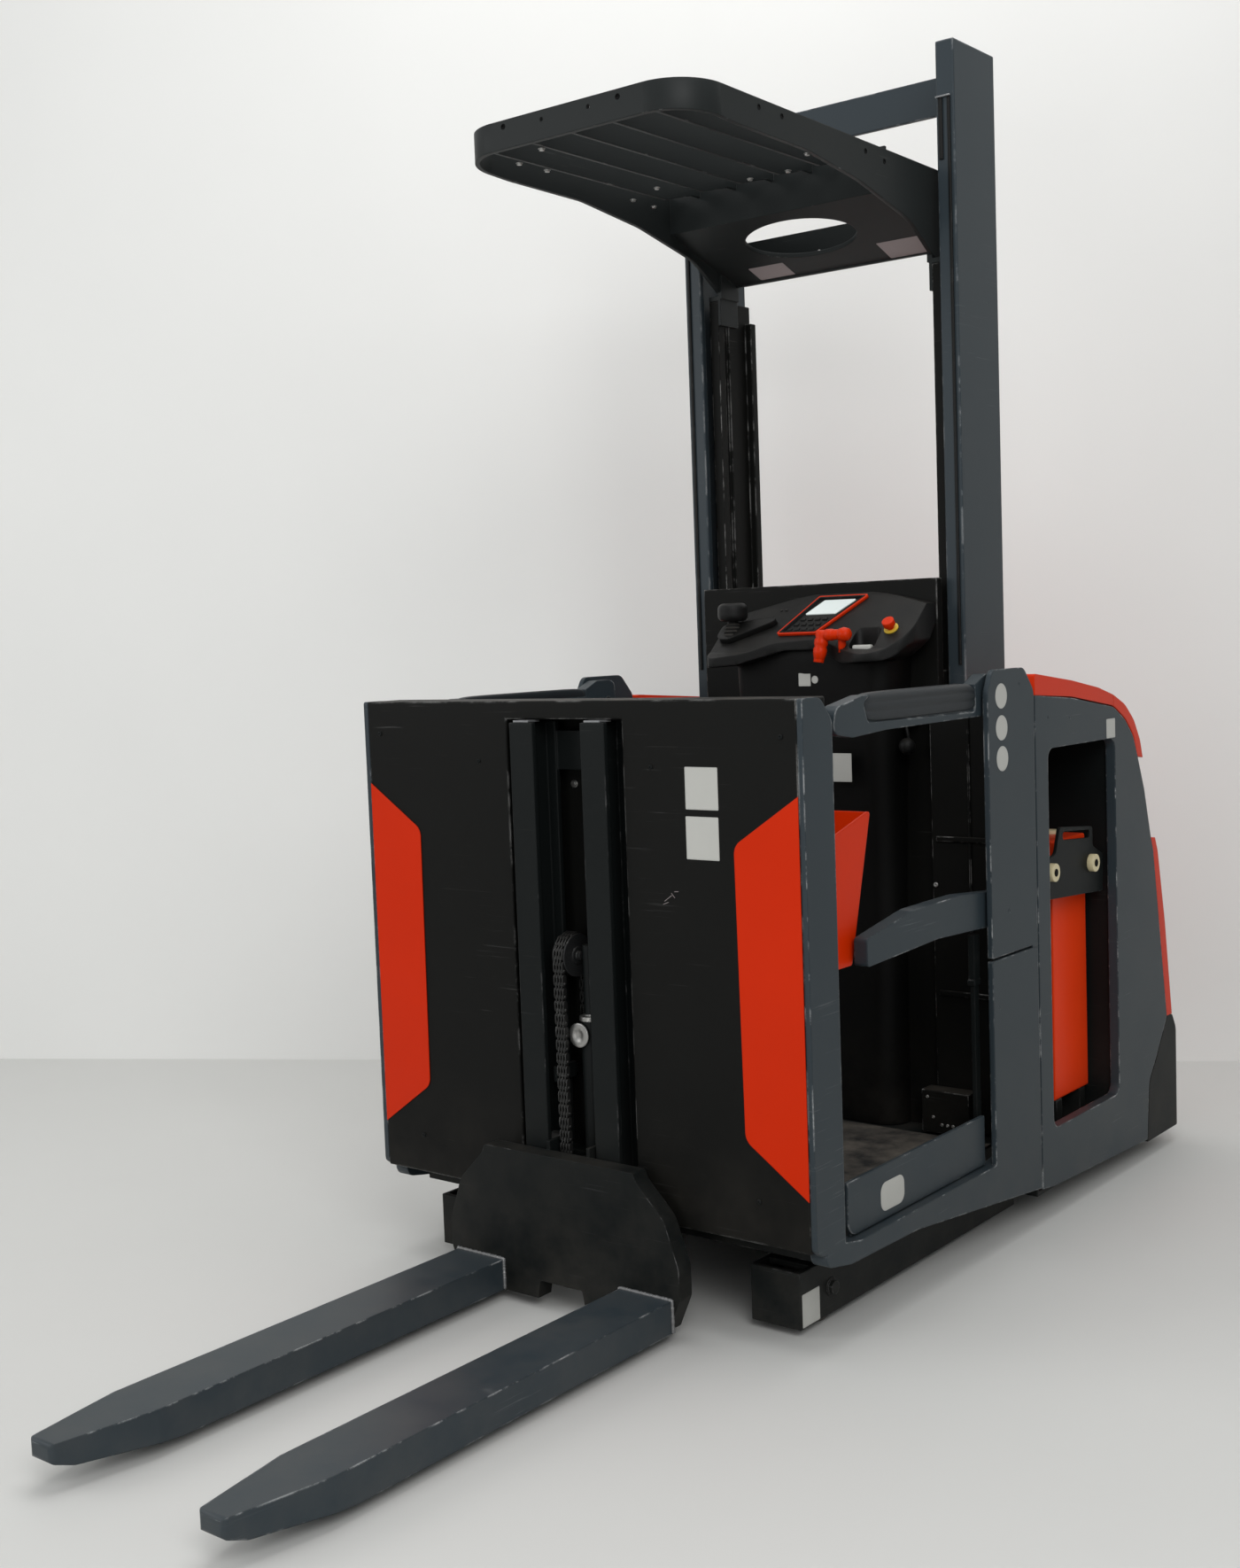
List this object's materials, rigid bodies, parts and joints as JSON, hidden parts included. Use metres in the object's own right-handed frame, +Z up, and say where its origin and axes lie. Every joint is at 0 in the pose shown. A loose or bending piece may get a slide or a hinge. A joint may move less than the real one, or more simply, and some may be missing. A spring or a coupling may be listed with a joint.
{
  "type": "order picker truck",
  "caption": "Electric order picker truck: rising operator cab with side gates and overhead guard, forks on the cab's front wall, battery chassis with mast behind.",
  "frame": {"origin": "on the floor under the middle of the truck's length and width", "axes": "+X towards the truck's side with the label plates, +Y from the forks to the rear bumper, +Z up"},
  "size_m": [1.131, 2.884, 2.652],
  "materials": {
    "grey_paint": "satin blue-grey enamel, scratched at edges",
    "dark_paint": "matt dark grey enamel",
    "black_paint": "matt black enamel with light scuffs",
    "red_paint": "satin orange-red enamel",
    "red_plastic": "satin orange-red moulding",
    "dark_plastic": "grained black moulding",
    "yellow_plastic": "yellow ring",
    "cream_plastic": "cream nylon",
    "soft_pad": "soft dark pad",
    "mat_rubber": "worn ribbed mat",
    "tread_rubber": "hard dark wheel tread",
    "cast_metal": "painted casting",
    "bright_steel": "oiled steel",
    "screen_glass": "pale screen"
  },
  "bodies": {
    "chassis": {"chassis_frame": "dark_paint", "side_panels": "grey_paint", "battery": "red_paint", "battery_lock_plates": "dark_paint", "battery_lock_rollers": "cream_plastic", "hood_front": "red_plastic", "hood_rear": "red_plastic", "rear_upper_cover": "dark_plastic", "rear_lower_cover": "red_plastic", "rear_bumper": "dark_paint", "main_mast": "grey_paint", "power_pack": "dark_paint", "drive_mount": "dark_paint"},
    "cab": {"front_wall": "black_paint", "wall_panels": "red_paint", "cab_side_frames": "grey_paint", "cab_posts": "grey_paint", "cab_floor": "dark_paint", "floor_mat": "mat_rubber", "kick_plates": "grey_paint", "cab_back_frame": "black_paint", "mast_rollers": "bright_steel", "console_column": "dark_plastic", "console_top": "dark_plastic", "display_bezel": "red_plastic", "display_screen": "screen_glass", "display_keys": "dark_plastic", "steering_knob": "dark_plastic", "stop_button": "red_plastic", "stop_ring": "yellow_plastic", "hand_control": "red_plastic", "side_bins": "red_plastic", "overhead_guard": "dark_paint", "gate_rest_rails": "dark_paint", "fork_mast": "dark_paint", "fork_lift_cylinder": "dark_paint", "fork_chain": "bright_steel"},
    "fork_carriage_body": {"fork_carriage": "dark_paint", "carriage_rollers": "bright_steel", "forks": "grey_paint"},
    "upper_gate_right_body": {"upper_gate_right": "grey_paint", "arm_pad_right": "soft_pad"},
    "upper_gate_left_body": {"upper_gate_left": "grey_paint", "arm_pad_left": "soft_pad"},
    "lower_gate_right_body": {"lower_gate_right": "grey_paint"},
    "lower_gate_left_body": {"lower_gate_left": "grey_paint"},
    "load_wheel_right": {"load_tyre_right": "tread_rubber", "load_hub_right": "cast_metal"},
    "load_wheel_left": {"load_tyre_left": "tread_rubber", "load_hub_left": "cast_metal"},
    "drive_yoke": {"steer_yoke": "cast_metal"},
    "drive_wheel": {"drive_tyre": "tread_rubber", "drive_hub": "cast_metal"}
  },
  "joints": [
    {"name": "cab_lift", "type": "slide", "parent": "chassis", "child": "cab", "axis": [0, 0, 1], "range_m": [0, 1.2]},
    {"name": "fork_lift", "type": "slide", "parent": "cab", "child": "fork_carriage_body", "axis": [0, 0, 1], "range_m": [0, 0.8]},
    {"name": "upper_gate_right_lift", "type": "hinge", "parent": "cab", "child": "upper_gate_right_body", "pos_m": [0.531, 0.477, 1.193], "axis": [-1, 0, 0], "range_deg": [0, 75]},
    {"name": "lower_gate_right_lift", "type": "hinge", "parent": "cab", "child": "lower_gate_right_body", "pos_m": [0.531, 0.477, 0.745], "axis": [-1, 0, 0], "range_deg": [0, 75]},
    {"name": "load_wheel_right_spin", "type": "hinge", "parent": "chassis", "child": "load_wheel_right", "pos_m": [0.416, -0.123, 0.054], "axis": [1, 0, 0], "continuous": true},
    {"name": "upper_gate_left_lift", "type": "hinge", "parent": "cab", "child": "upper_gate_left_body", "pos_m": [-0.531, 0.477, 1.193], "axis": [-1, 0, 0], "range_deg": [0, 75]},
    {"name": "lower_gate_left_lift", "type": "hinge", "parent": "cab", "child": "lower_gate_left_body", "pos_m": [-0.531, 0.477, 0.745], "axis": [-1, 0, 0], "range_deg": [0, 75]},
    {"name": "load_wheel_left_spin", "type": "hinge", "parent": "chassis", "child": "load_wheel_left", "pos_m": [-0.416, -0.123, 0.054], "axis": [1, 0, 0], "continuous": true},
    {"name": "drive_steer", "type": "hinge", "parent": "chassis", "child": "drive_yoke", "pos_m": [0, 1.232, 0.12], "axis": [0, 0, 1], "range_deg": [-90, 90]},
    {"name": "drive_spin", "type": "hinge", "parent": "drive_yoke", "child": "drive_wheel", "pos_m": [0, 1.232, 0.12], "axis": [1, 0, 0], "continuous": true}
  ],
  "couplings": [
    {"joint": "lower_gate_right_lift", "follows": "upper_gate_right_lift", "ratio": 1},
    {"joint": "lower_gate_left_lift", "follows": "upper_gate_left_lift", "ratio": 1}
  ]
}
